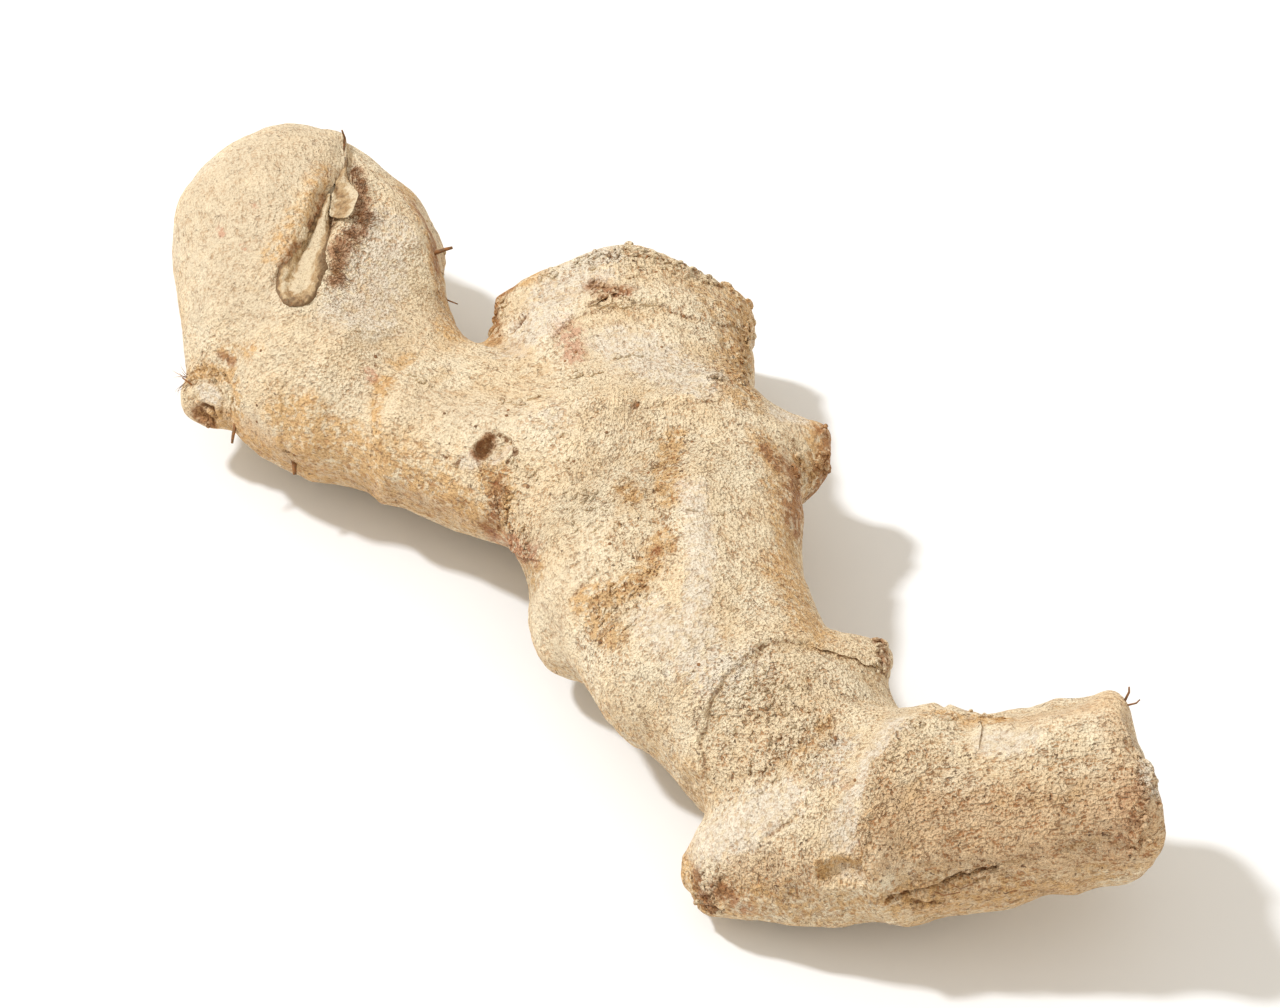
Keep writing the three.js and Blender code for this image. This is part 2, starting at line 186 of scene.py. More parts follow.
# Golden stains, and painted warm shade on the sides that face away from the light or down: under and at
# the foot of the arm, right of the stub and the trunk, the knob, the rim of the lobe, the nub and the
# lower edge
GOLDEN_ZONES = [
    ([(103, 605), (122, 616), (146, 628)], 5.5),  # under the arm
    ([(160, 616), (185, 632)], 3.5, 0.5),
    ([(213, 638), (216, 650), (213, 664)], 3.4),
    ([(222, 664), (232, 676)], 3, 0.5),
    ([(360, 614), (368, 626), (378, 640)], 3),
    ([(349, 535), (350, 552), (348, 570), (346, 586)], 4.8),  # right of the stub
    ([(326, 530), (334, 542), (346, 538)], 3, 0.5),
    ([(313, 613), (307, 630), (313, 645)], 2.2),  # along the trunk
    ([(304, 668), (300, 684), (285, 696), (262, 702)], 2.2),
    ([(270, 712), (280, 722)], 2.6),
    ([(285, 640), (290, 646)], 1.8),
    ([(305, 711)], 1.1, 0.6),
    ([(376, 650), (376, 690), (388, 716)], 5),  # right of the trunk
    ([(396, 606), (400, 622)], 2.5),  # tip of the knob
    ([(345, 872), (430, 868), (500, 862)], 5, 0.6),
    ([(163, 466), (176, 488), (184, 508), (187, 530), (192, 552)], 2.8),  # rim of the lobe
    ([(62, 606), (100, 630), (160, 652), (236, 684)], 3),  # foot of the arm
    ([(392, 606), (398, 616), (396, 628), (388, 641), (379, 654)], 6),  # knob
    ([(320, 850), (326, 872)], 5),  # nub
    ([(418, 845), (417, 826), (420, 805), (427, 788), (437, 772), (452, 766)], 1.2, 0.35),
    ([(452, 765), (478, 768), (494, 764)], 1.2),
    ([(167, 560), (158, 566)], 2, 0.6),
    ([(62, 567), (84, 565)], 1.6, 0.6),  # above the bud
    ([(45, 581), (55, 576), (68, 580), (72, 596), (70, 606)], 1.6),  # bud
    ([(394, 853), (394, 847), (402, 844), (412, 846)], 1.1),  # dimple
    ([(212, 560), (212, 540), (225, 527), (237, 523)], 1.8),
    ([(397, 768), (388, 780), (378, 790), (379, 797)], 1.6, 0.6),  # across the node
    ([(267, 526), (272, 527)], 1.5),
    ([(119, 470), (104, 496), (92, 514)], 2.6, 0.55),  # along the crevice
    ([(152, 580), (148, 600), (152, 628)], 1.4),
]
# Tan skin, with painted shade on the undersides: the lower half of the finger and the foot of the arm
TAN_ZONES = [
    ([(445, 826), (480, 834), (520, 834), (560, 822)], 10),  # finger
    ([(450, 866), (530, 860)], 6),
    ([(350, 852), (385, 855)], 5, 0.7),
    ([(560, 760), (570, 800), (572, 830)], 5, 0.6),
    ([(505, 762), (545, 756)], 4, 0.6),
    ([(62, 604), (110, 630), (150, 643), (180, 652), (206, 661)], 4),  # foot of the arm
]
ROSY_ZONES = [
    ([(252, 552), (258, 568)], 2.3),
    ([(62, 499), (64, 503)], 0.55),
    ([(74, 508), (76, 510)], 0.5),
    ([(79, 486), (82, 488)], 0.45),
    ([(145, 577)], 1.3),
    ([(409, 803)], 1.1),
    ([(278, 535), (285, 535)], 0.9),
    ([(345, 745), (372, 752), (386, 785), (350, 790)], 8, 0.12),  # node
    ([(560, 836), (566, 806)], 4.5, 0.25),  # end of the finger
    ([(215, 668), (235, 678)], 2.4),  # end of the arm
    ([(345, 868), (352, 872)], 2, 0.5),
]
# Brown marks and scars, and painted shade under the knob, along the right rims of the knob and the lobe,
# inside the crevice and beneath the hairs
BROWN_ZONES = [
    ([(216, 642), (214, 655), (211, 663)], 1.8, 0.9),  # arm meets trunk
    ([(374, 630), (380, 642), (379, 658)], 3.6),  # under the knob: painted shade
    ([(362, 619), (370, 630)], 1.3),
    ([(266, 530), (276, 534), (287, 533)], 1.7, 0.8),  # on the stub
    ([(214, 560), (213, 540), (222, 530)], 1.4, 0.7),
    ([(174, 482), (183, 503), (185, 520)], 1.5),  # right rim of the lobe: painted shade
    ([(119, 484), (113, 495), (104, 510), (97, 520)], 1),  # inside the crevice: painted shade
    ([(137, 468), (140, 482), (140, 497), (128, 504), (125, 522)], 1.6),  # where the hairs are: painted shade beneath them
    ([(205, 622), (210, 615)], 1.2),  # root scar
    ([(50, 600), (56, 606)], 1.7),  # bud
    ([(326, 856), (333, 870)], 2.2),  # end of the nub
    ([(336, 860), (342, 864)], 1.4),
    ([(397, 609), (398, 620), (395, 632), (388, 643)], 3, 0.9),
    ([(416, 826), (417, 838)], 0.6),
    ([(424, 722), (427, 738)], 1.2),  # spur
    ([(302, 676)], 1.2),
    ([(62, 569), (68, 572)], 1.1),
    ([(563, 808), (563, 820), (557, 832)], 2, 0.4),  # end of the finger
]
TINTS = {
    "pale": PALE_ZONES, "golden": GOLDEN_ZONES, "tan": TAN_ZONES, "rosy": ROSY_ZONES,
    "brown": BROWN_ZONES,
}
# Stretches of skin of one roughness, in the same way
SMOOTH_ZONES = [
    ([(60, 480), (75, 530), (80, 470), (100, 455)], 12),  # cap of the lobe
    ([(80, 560), (120, 560), (165, 545)], 12, 0.5),
    ([(110, 598), (160, 596), (205, 595)], 9, 0.5),
    ([(244, 708), (256, 694)], 8, 0.6),
    ([(270, 565), (300, 575)], 8, 0.4),
    ([(516, 762), (540, 758)], 5, 0.5),
    ([(380, 604), (392, 612)], 4),
    ([(486, 778), (506, 776)], 3),
    ([(404, 835), (408, 815), (420, 785), (436, 763)], 2.8, 0.9),
    ([(320, 640), (327, 670), (325, 700), (321, 716)], 2.2, 0.9),
    ([(300, 712), (316, 722), (330, 716)], 3, 0.7),
    ([(332, 832), (350, 822), (370, 810)], 4, 0.8),  # heel
    ([(78, 605), (90, 612)], 3),
]
ROUGH_ZONES = [
    ([(352, 752), (372, 756), (386, 785), (352, 790)], 8, 0.8),  # node
    ([(445, 815), (480, 828), (520, 815), (560, 815)], 12),  # finger
    ([(350, 850), (380, 853)], 4),  # heel
    ([(218, 640), (229, 676)], 5),
    ([(327, 862)], 5),
    ([(311, 618), (298, 672), (274, 722)], 5),
    ([(340, 540), (346, 580)], 6),
    ([(140, 480), (130, 525)], 4),
    ([(264, 517), (300, 512), (342, 528)], 3),  # rim of the stub
]
SPECKS = [  # crumbs of soil: pixels across, pixels down, and the radius
    (292, 595, 0.4), (232, 640, 0.35), (220, 601, 0.3), (203, 607, 0.25),
    (221, 598, 0.25), (257, 626, 0.25), (275, 610, 0.3), (322, 615, 0.25),
    (298, 632, 0.25), (272, 725, 0.35), (277, 671, 0.3), (252, 571, 0.25),
    (258, 566, 0.25), (310, 544, 0.3), (317, 546, 0.3), (305, 563, 0.25),
    (401, 777, 0.4), (412, 800, 0.3), (345, 799, 0.35), (326, 737, 0.3),
    (148, 569, 0.35), (67, 571, 0.35), (85, 566, 0.25), (83, 596, 0.25),
    (83, 605, 0.25), (104, 623, 0.3), (396, 611, 0.3), (324, 870, 0.35),
    (302, 522, 0.3), (186, 600, 0.25),
]

# ---- What is loose on the skin
BRACT_ACROSS = (0, 0.12, 0.3, 0.5, 0.7, 0.88, 1)
BRACT = [  # the corky bract in the crevice: its edges, and its heights above the skin between them
    ((119.5, 480), (123, 480), (-0.2, 0.3, 0.6, 1.0, 1.1, 0.7, -0.2)),
    ((115, 489), (122.3, 489), (-0.2, 0.6, 0.5, 0.9, 1.7, 1.3, -0.2)),
    ((110, 498), (122.6, 499), (-0.2, 0.8, 0.5, 0.8, 1.9, 1.5, -0.2)),
    ((104, 507), (123, 508), (-0.2, 1.0, 0.4, 0.9, 2.0, 1.2, -0.2)),
    ((98, 515.5), (123, 516.5), (-0.2, 1.1, 0.4, 1.5, 1.2, 1.2, -0.2)),
    ((94, 523), (121, 525.5), (-0.2, 1.3, 0.5, 1.5, 0.6, 1.3, -0.2)),
    ((91.5, 531), (118.5, 532), (-0.2, 1.4, 0.6, 1.4, 0.5, 1.4, -0.2)),
    ((94.5, 538), (115, 538), (-0.2, 1.2, 0.8, 1.2, 0.7, 1.2, -0.2)),
    ((99.5, 542.5), (109, 541.5), (-0.2, 0.2, 0.3, 0.3, 0.3, 0.2, -0.2)),
]
FLAP_ACROSS = (0, 0.25, 0.5, 0.75, 1)
FLAP = [  # the dry flap above it
    ((130.5, 461), (132, 461), (0.1, 0.3, 0.5, 0.3, 0.1)),
    ((127, 470), (131.5, 470), (0.3, 0.6, 1.0, 0.7, 0.3)),
    ((124.5, 478), (133, 477), (0.9, 0.8, 1.2, 1.0, 0.9)),
    ((122.8, 484), (138.5, 484.5), (1.4, 0.7, 0.6, 1.0, 1.9)),
    ((122.5, 489.5), (136, 490), (1.3, 0.6, 0.5, 0.8, 1.5)),
    ((123.5, 495), (133.5, 495), (1.2, 0.9, 0.8, 0.9, 1.2)),
]
BRACT_THICKNESS = 0.3
FLAP_THICKNESS = 0.15
HAIR_LENGTHS = (1.0, 2.6)
HAIR_RADII = (0.04, 0.07)
HAIR_TURN = 0.6  # how much their directions differ, in radians
HAIR_CURL = 0.35
TUFTS = [  # hairs, which stray from the run by the spread in pixels, and lean as in the photograph
    Tuft([(134, 466), (138, 474), (140, 483)], 3, 55, (0.5, -0.6)),
    Tuft([(135, 494), (139, 491), (141, 497)], 3.5, 60, (1, -0.1)),
    Tuft([(124, 498), (131, 501), (134, 506)], 2.5, 45, (0.8, 0.5)),
    Tuft([(124, 509), (126, 518), (123, 528)], 2.2, 60, (1, 0.3)),
    Tuft([(118, 476), (122, 470)], 1.5, 10, (-0.6, -0.5)),
    Tuft([(45, 580), (44, 586)], 1.2, 12, (-1, 0)),
]
FIBRE_TAPER = 0.6  # how much of its radius a fibre loses towards its end
FIBRES = [  # stiff threads and stubs of root, each from a place on the skin
    Fibre([(130, 458), (130, 450), (129, 445)], 0.3, 0.25),
    Fibre([(180, 512), (186, 510), (190, 509)], 0.2, 0.35),
    Fibre([(187, 537), (193, 540)], 0.2, 0.12),
    Fibre([(70.5, 606), (70, 613), (69.5, 617)], 0.3, 0.3),
    Fibre([(103, 627), (104, 634)], 0.3, 0.4),
    Fibre([(560, 756), (562, 751), (562, 748)], 0.2, 0.2),
    Fibre([(561, 758), (566, 757), (568, 755)], 0.2, 0.15),
    Fibre([(244, 735), (249, 742)], 0.2, 0.08),
    Fibre([(295, 516), (298, 511)], 0.2, 0.25),
    Fibre([(314, 522), (317, 518)], 0.2, 0.2),
    Fibre([(48, 586), (42, 581)], 0.3, 0.15),
    Fibre([(462, 855), (470, 858), (478, 855)], 0.5, 0.1),
    Fibre([(452, 860), (461, 862), (470, 860)], 0.4, 0.12),
]
FLAKES = [  # loose skin left of a run: its free edge follows the run
    Flake([*STEPS["cap"].run[:1:-1], (130, 463), (131, 454)], 1.5, 0.6),
    Flake([(459, 764), *STEPS["collar"].run[1:-1]], 1.6, 0.55),
    Flake([(479, 784), (480, 778), (480, 772), (479, 765)], 1.0, 0.4),
    Flake([(305, 540), (290, 540), (276, 540), (268, 543)], 0.9, 0.3),
    Flake([(264, 542), (274, 537), (281, 533)], 0.8, 0.5),
    Flake([(430, 862), (440, 859), (450, 856), (461, 854), (471, 850), (480, 847),
        (488, 846)], 1.2, 0.45),
    Flake([*STEPS["node"].run[4:0:-1], (426, 740)], 1.0, 0.4),
    Flake(STEPS["bare_patch"].run, 0.9, 0.25),
    Flake([(222, 672), (232, 678), (240, 680)], 1.2, 0.6),
    Flake([(566, 784), (572, 791), (576, 798), (577, 808)], 1.6, 0.7),
    Flake([(352, 545), (353, 555), (351, 566)], 1.0, 0.35),
    Flake([(290, 513), (280, 511), (270, 514)], 1.0, 0.4),
    Flake([(322, 524), (312, 521), (300, 518)], 1.0, 0.4),
]
FLAKE_THICKNESS = 0.18
CRUMB_RADII = (0.2, 0.55)
CRUMB_STRETCH = (0.9, 2.2)  # half its length, in radii
CRUMBS = [  # crumbs of dry skin, which stray from the run by the spread in pixels
    Crumbs([(240, 522), (262, 514), (280, 510), (300, 514), (322, 521), (344, 530)], 6, 110, 1.4),
    Crumbs([(266, 530), (275, 534), (285, 536)], 4, 30),
    Crumbs([(350, 534), (352, 556), (349, 582)], 6, 50, 1.3),
    Crumbs([(178, 492), (187, 514), (189, 530)], 4, 25),
    Crumbs([(214, 536), (213, 556)], 5, 20, 1.4),
    Crumbs([(336, 852), (330, 862), (328, 870)], 7, 45, 1.4),
    Crumbs([(396, 606), (402, 618), (384, 640)], 6, 40, 1.3),
    Crumbs([(222, 640), (216, 656), (230, 676)], 6, 50, 1.3),
    Crumbs([(46, 582), (66, 578), (70, 598), (56, 606)], 3, 30),
    Crumbs([(424, 722), (428, 740)], 4, 25, 1.4),
    Crumbs([(568, 790), (574, 806), (568, 834)], 6, 40, 1.4),
    Crumbs([(418, 840), (419, 810), (434, 776), (456, 765), (494, 764)], 3, 60),
    Crumbs([(240, 620), (270, 660), (310, 640)], 18, 70),
    Crumbs([(350, 750), (370, 760), (385, 785), (360, 795)], 16, 80),
    Crumbs([(275, 712), (300, 690)], 12, 40),
]

# ---- Limbs, as the ends of their middle lines: the skin's grain runs along them
LIMBS = [
    ((-2, 45, 15), (5, 5, 16)),
    ((5, 5, 16), (12, -33, 16)),
    ((-8, 8, 16), (-44, 28, 15)),
    ((-46, 34, 16), (-50, 58, 17)),
    ((16, -40, 16), (28, -54, 15)),
    ((34, -56, 16), (70, -56, 23)),
]
GRAIN_STRETCH = 3.5  # how much longer than wide the wrinkles are
LIMB_REACH = 9  # how far a limb's direction holds round its middle line

# ---- Relief of the skin: the size of its bumps, and their height
SWELLS = [(11, 0.38), (5, 0.26)]
WRINKLES = [(2.6, 0.14), (1.4, 0.11)]
PEBBLES = [(2.8, 0.09), (1.3, 0.13)]
CREASE_SIZE = 3.4
CREASE_HALF_WIDTH = 0.14
CREASE_DEPTH = 0.22
CREASE_INK = 0.25
LEDGE_HALF_WIDTH = 0.2  # of the slope at a leaf scale's edge
LEDGE_REACH = 6  # how far behind its edge it stands up from the skin
LIP_HEIGHT = 0.25  # of the raised lips along a stroke, in depths
RIM_HEIGHT = 0.3  # of the raised rim round a pit, in depths
FULL_HOLLOW = 0.12  # a point this far below its surroundings counts as a full hollow
MARK_REACH = 0.95  # the mesh is finer this near to a mark
SEED = 5  # of the crumbs and hairs
PLAIN_ROUGH = 0.52  # how rough plain skin is, from 0 to 1
FLANK_PAINTED_SHADE = 0.45  # how golden the skin is painted where it faces sideways or down: painted warm shade
REST_HEIGHT = 1.5  # below this the relief fades out towards the surface that the root rests on


# ---- Noise and distances on arrays of points
GRADIENTS = np.random.default_rng(11).normal(size=(4096, 3))
GRADIENTS /= np.linalg.norm(GRADIENTS, axis=1, keepdims=True)
SCATTER = np.array((73856093, 19349663, 83492791))  # primes that scatter the cells over the gradients
SEED_SHIFT = 17.3  # how far apart, in bumps, two seeds read the same noise
NOISE_GAIN = 1.6  # brings the values to about -1 to 1


def noise(points, size, seed):
    """A smooth random value from about -1 to 1 at each point, in bumps of that size."""
    scaled = points / size + seed * SEED_SHIFT
    cell = np.floor(scaled).astype(np.int64)
    inside = scaled - cell
    ease = inside**3 * (inside * (inside * 6 - 15) + 10)
    total = np.zeros(len(points))
    for corner in itertools.product((0, 1), repeat=3):
        pick = np.bitwise_xor.reduce((cell + corner) * SCATTER, axis=1) % len(GRADIENTS)
        slope = (GRADIENTS[pick] * (inside - corner)).sum(axis=1)
        total += slope * np.prod(np.where(corner, ease, 1 - ease), axis=1)
    return NOISE_GAIN * total


def smooth(low, high, value):
    """0 below low, 1 above high, with a smooth rise between."""
    t = np.clip((value - low) / (high - low), 0, 1)
    return t * t * (3 - 2 * t)


def bell(value, width):
    """1 where the value is 0, and near 0 past the width."""
    return np.exp(-((value / width) ** 2))


def ray_through(pixel):
    """The direction from the photograph's camera through a pixel."""
    across = (pixel[0] - AIM_PIXEL[0]) / FOCAL
    down = (pixel[1] - AIM_PIXEL[1]) / FOCAL
    return (FORWARD + RIGHT * across - UP * down).normalized()


def place_on(tree, pixel):
    """The place on the skin at a pixel, or nearest to it, and the outward direction there."""
    ray = ray_through(pixel)
    place, normal, _, _ = tree.ray_cast(EYE, ray)
    if place is None:
        place, normal, _, _ = tree.find_nearest(EYE + ray * (AIM - EYE).length)
    return place, normal


def fill_run(run, spacing=2.0):
    """The pixels of a run, with more between them."""
    filled = [run[0]]
    for start, end in itertools.pairwise(run):
        steps = max(1, round(math.dist(start, end) / spacing))
        way = np.subtract(end, start)
        filled += [start + way * i / steps for i in range(1, steps + 1)]
    return filled


def nearest_of(points, run, tree):
    """Each point's distance from a run, which of the run's places is nearest, and those places."""
    places = np.array([place_on(tree, pixel)[0] for pixel in fill_run(run)])
    best = np.full(len(points), np.inf)
    index = np.zeros(len(points), dtype=int)
    for i, place in enumerate(places):
        gap = np.linalg.norm(points - place, axis=1)
        closer = gap < best
        best[closer] = gap[closer]
        index[closer] = i
    return best, index, places


# ---- Meshes
def vectors_of(items, name):
    flat = np.empty(3 * len(items))
    items.foreach_get(name, flat)
    return flat.reshape(-1, 3)


def points_of(mesh):
    return vectors_of(mesh.vertices, "co") / MM


def normals_of(mesh):
    return vectors_of(mesh.vertex_normals, "vector")


def tree_of(mesh):
    points = points_of(mesh)
    return BVHTree.FromPolygons(points.tolist(), [tuple(face.vertices) for face in mesh.polygons])


def push_out(mesh, heights):
    """Moves each point outwards by its height, and keeps it above the floor."""
    points = points_of(mesh) + normals_of(mesh) * heights[:, None]
    points[:, 2] = np.maximum(points[:, 2], 0)
    mesh.vertices.foreach_set("co", (points * MM).ravel())
    mesh.update()


def store(mesh, name, values):
    """Keeps a number, or a vector, for each point of a mesh."""
    vectors = np.ndim(values) == 2
    layer = mesh.attributes.new(name, "FLOAT_VECTOR" if vectors else "FLOAT", "POINT")
    layer.data.foreach_set("vector" if vectors else "value", np.ravel(values))


def new_object(name, data):
    made = bpy.data.objects.new(name, data)
    bpy.context.scene.collection.objects.link(made)
    return made


def finer(made, levels):
    """Subdivides an object's mesh smoothly."""
    made.modifiers.new("finer", "SUBSURF").levels = levels
    graph = bpy.context.evaluated_depsgraph_get()
    made.data = bpy.data.meshes.new_from_object(made.evaluated_get(graph))
    made.modifiers.clear()


def finish_piece(piece, material):
    piece.data.shade_smooth()
    piece.data.materials.clear()
    piece.data.materials.append(material)
    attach(piece, "root")


class Shape:
    """A mesh that is put together from closed bits, in millimetres."""

    def __init__(self):
        self.vertices = []
        self.faces = []

    def add(self, vertices, faces):
        first = len(self.vertices)
        self.vertices += [Vector(vertex) for vertex in vertices]
        self.faces += [[first + i for i in face] for face in faces]

    def add_tube(self, centres, radii, sides):
        across = (centres[1] - centres[0]).orthogonal()
        vertices = []
        last = len(centres) - 1
        for i, (centre, radius) in enumerate(zip(centres, radii)):
            ahead = (centres[min(i + 1, last)] - centres[max(i - 1, 0)]).normalized()
            across = (across - ahead * across.dot(ahead)).normalized()
            beside = ahead.cross(across)
            for turn in (2 * math.pi * k / sides for k in range(sides)):
                vertices.append(centre + radius * (across * math.cos(turn) + beside * math.sin(turn)))
        rings = np.arange(len(vertices)).reshape(-1, sides)
        after = np.roll(rings, -1, axis=1)
        walls = np.stack([rings[:-1], after[:-1], after[1:], rings[1:]], axis=2).reshape(-1, 4)
        self.add(vertices, [*walls.tolist(), rings[0, ::-1].tolist(), rings[-1].tolist()])

    def add_sheet(self, rows, ups, thickness):
        """A thin closed sheet whose upper side passes through rows of places."""
        uppers = [place for row in rows for place in row]
        lowers = [
            place - up * thickness for row, row_ups in zip(rows, ups) for place, up in zip(row, row_ups)
        ]
        below = len(uppers)
        grid = np.arange(below).reshape(len(rows), -1)
        squares = np.stack([grid[:-1, :-1], grid[:-1, 1:], grid[1:, 1:], grid[1:, :-1]], axis=2)
        squares = squares.reshape(-1, 4)
        faces = np.hstack([squares, below + squares[:, ::-1]]).reshape(-1, 4).tolist()
        rim = np.concatenate([grid[0], grid[1:, -1], grid[-1, -2::-1], grid[-2:0:-1, 0]]).tolist()
        for start, end in zip(rim, rim[1:] + rim[:1]):
            faces.append([end, start, below + start, below + end])
        self.add(uppers + lowers, faces)

    def build(self, name):
        mesh = bpy.data.meshes.new(name)
        mesh.from_pydata([vertex * MM for vertex in self.vertices], [], self.faces)
        shape = bmesh.new()
        shape.from_mesh(mesh)
        bmesh.ops.recalc_face_normals(shape, faces=shape.faces)
        shape.to_mesh(mesh)
        shape.free()
        return new_object(name, mesh)


# ---- The skin
def fine_copy(node, name, levels):
    """A new object with a CAD node's shape in finer quads."""
    shape = bmesh.new()
    shape.from_mesh(node.data)
    bmesh.ops.remove_doubles(shape, verts=shape.verts, dist=1e-6)
    bmesh.ops.join_triangles(
        shape, faces=shape.faces, angle_face_threshold=math.pi, angle_shape_threshold=math.pi
    )
    mesh = bpy.data.meshes.new(name)
    shape.to_mesh(mesh)
    shape.free()
    fine = new_object(name, mesh)
    finer(fine, levels)
    return fine


def refine_near(made, runs, reach, tree):
    """Splits the quads near any of the runs into four."""
    points = points_of(made.data)
    near = np.min([nearest_of(points, run, tree)[0] for run in runs], axis=0) < reach
    shape = bmesh.new()
    shape.from_mesh(made.data)
    split = [edge for edge in shape.edges if near[edge.verts[0].index] and near[edge.verts[1].index]]
    bmesh.ops.subdivide_edges(shape, edges=split, cuts=1, use_grid_fill=True)
    shape.to_mesh(made.data)
    shape.free()


def grain_places(points):
    """Each point's place in a space squeezed along its limb: noise there runs lengthwise."""
    shift = np.zeros_like(points)
    total = np.zeros((len(points), 1))
    for limb in LIMBS:
        start, end = np.array(limb, float)
        length = np.linalg.norm(end - start)
        axis = (end - start) / length
        along = (points - start) @ axis
        on_line = start + np.outer(np.clip(along, 0, length), axis)
        gap = np.linalg.norm(points - on_line, axis=1, keepdims=True)
        weight = bell(gap, LIMB_REACH) + 1e-9
        shift += weight * np.outer(along - length / 2, axis)
        total += weight
    return points - shift / total * (1 - 1 / GRAIN_STRETCH)


def mask_of(points, zones, tree):
    """How far each point is in any of the zones, 0 to 1, with ragged edges."""
    ragged = 0.3 * noise(points, 6, seed=3) + 0.3 * noise(points, 2.2, seed=4)
    mask = np.zeros(len(points))
    for zone in itertools.starmap(Zone, zones):
        gap, _, _ = nearest_of(points, zone.run, tree)
        inside = smooth(1.5, 0.1, gap / zone.reach + ragged)
        mask = np.maximum(mask, zone.strength * inside)
    return mask


def describe(mesh, tree):
    """Stores what the material needs to know of each point, and returns its grain and roughness."""
    points = points_of(mesh)
    grain = grain_places(points)
    store(mesh, "grain", grain)
    tints = {tint: mask_of(points, zones, tree) for tint, zones in TINTS.items()}
    # Painted warm shade: golden where the skin faces sideways or down
    painted_flank_shade = FLANK_PAINTED_SHADE * smooth(0.5, -0.2, normals_of(mesh)[:, 2] + 0.4 * noise(points, 9, seed=13))
    tints["golden"] = np.maximum(tints["golden"], painted_flank_shade)
    for tint, mask in tints.items():
        store(mesh, tint, mask)
    coarse = mask_of(points, ROUGH_ZONES, tree)
    sleek = mask_of(points, SMOOTH_ZONES, tree)
    rough = np.clip(PLAIN_ROUGH + 0.42 * coarse - 0.2 * tints["pale"] - 0.37 * sleek, 0.1, 1)
    store(mesh, "rough", rough)
    return grain, rough


def step_relief(points, normals, step, tree):
    """A scale edge's relief, and how near each point is to the edge."""
    gap, index, places = nearest_of(points, step.run, tree)
    ahead = places[np.minimum(index + 1, len(places) - 1)] - places[np.maximum(index - 1, 0)]
    leftward = np.cross(normals, ahead)
    leftward /= np.linalg.norm(leftward, axis=1, keepdims=True) + 1e-9
    side = ((points - places[index]) * leftward).sum(axis=1) + 0.5 * noise(points, 2.5, seed=5)
    beyond = np.sqrt(np.maximum(gap**2 - side**2, 0))  # the way past the run's ends
    near = smooth(3.5, 1, beyond)
    side = side * np.sign(step.height)
    ledge = smooth(-LEDGE_HALF_WIDTH, LEDGE_HALF_WIDTH, side) * smooth(LEDGE_REACH, 0.5, side)
    # A darker line at the foot of the edge: partly the brown edge of the old scale, partly painted shade
    # beneath it
    line = bell(side + 0.15, 0.25)
    return near * abs(step.height) * ledge, near * line


def creases(grain):
    """Thin broken valleys along the limbs, 0 to 1."""
    wave = noise(grain, CREASE_SIZE, seed=8)
    lines = bell(wave, CREASE_HALF_WIDTH)
    return lines * smooth(-0.1, 0.3, noise(grain, 2 * CREASE_SIZE, seed=9))


def paint_skin(mesh, tree):
    """Raises the relief on the skin, and stores what its material needs to know."""
    points = points_of(mesh)
    normals = normals_of(mesh)
    grain, rough = describe(mesh, tree)

    height = sum(high * noise(points, size, seed=1) for size, high in SWELLS)
    for form in FORMS.values():
        gap, _, _ = nearest_of(points, form.run, tree)
        height += form.height * smooth(form.reach, 0, gap)
    height += rough * sum(high * noise(grain, size, seed=2) for size, high in WRINKLES)
    height += rough * sum(high * noise(points, size, seed=6) for size, high in PEBBLES)
    valleys = creases(grain)
    height -= CREASE_DEPTH * rough * valleys

    dark = CREASE_INK * rough * valleys
    for step in STEPS.values():
        raised, line = step_relief(points, normals, step, tree)
        height += raised
        dark = np.maximum(dark, step.ink * line)
    for stroke in STROKES.values():
        gap, _, _ = nearest_of(points, stroke.run, tree)
        gap = gap + 0.25 * noise(points, 1.2, seed=10)
        near = bell(gap, stroke.half_width)
        lips = bell(gap - 2.2 * stroke.half_width, stroke.half_width)
        height += stroke.depth * (LIP_HEIGHT * lips - near)
        dark = np.maximum(dark, stroke.ink * near)
    for pit in PITS.values():
        gap, _, _ = nearest_of(points, pit.run, tree)
        gap = gap + 0.3 * noise(points, 1.5, seed=7)
        hollow = smooth(pit.radius, 0.3 * pit.radius, gap)
        rim = bell(gap - 1.15 * pit.radius, 0.3 * pit.radius)
        height += pit.depth * (RIM_HEIGHT * rim - hollow)
        dark = np.maximum(dark, pit.ink * hollow)

    height *= smooth(0, REST_HEIGHT, points[:, 2])
    push_out(mesh, height)
    store(mesh, "dark", dark)
    store(mesh, "hollow", hollowness(mesh))


def hollowness(mesh, rounds=6):
    """How far each point lies below its surroundings, from -1 on crests to 1 in hollows."""
    points = points_of(mesh)
    ends = np.empty(2 * len(mesh.edges), dtype=int)
    mesh.edges.foreach_get("vertices", ends)
    here = np.append(ends[::2], ends[1::2])
    there = np.append(ends[1::2], ends[::2])
    count = np.bincount(here)[:, None]
    around = points
    for _ in range(rounds):
        sums = [np.bincount(here, along_axis[there]) for along_axis in around.T]
        around = np.transpose(sums) / count
    depth = ((around - points) * normals_of(mesh)).sum(axis=1)
    return np.clip(depth / FULL_HOLLOW, -1, 1)


# ---- Loose parts
def sheet_rows(table, across, tree):
    """The rows of places, and of outward directions, of a sheet given by its edges and heights."""
    rows, ups = [], []
    for left, right, heights in table:
        start, end = np.array(left), np.array(right)
        spots = [place_on(tree, start + (end - start) * t) for t in across]
        rows.append([place + normal * high for (place, normal), high in zip(spots, heights)])
        ups.append([normal for _, normal in spots])
    return rows, ups


def wrinkle(piece, size, height, seed):
    """Crumples a piece's surface a little."""
    points = points_of(piece.data)
    bumps = height * noise(points, size, seed) + 0.5 * height * noise(points, size / 2, seed + 1)
    push_out(piece.data, bumps)


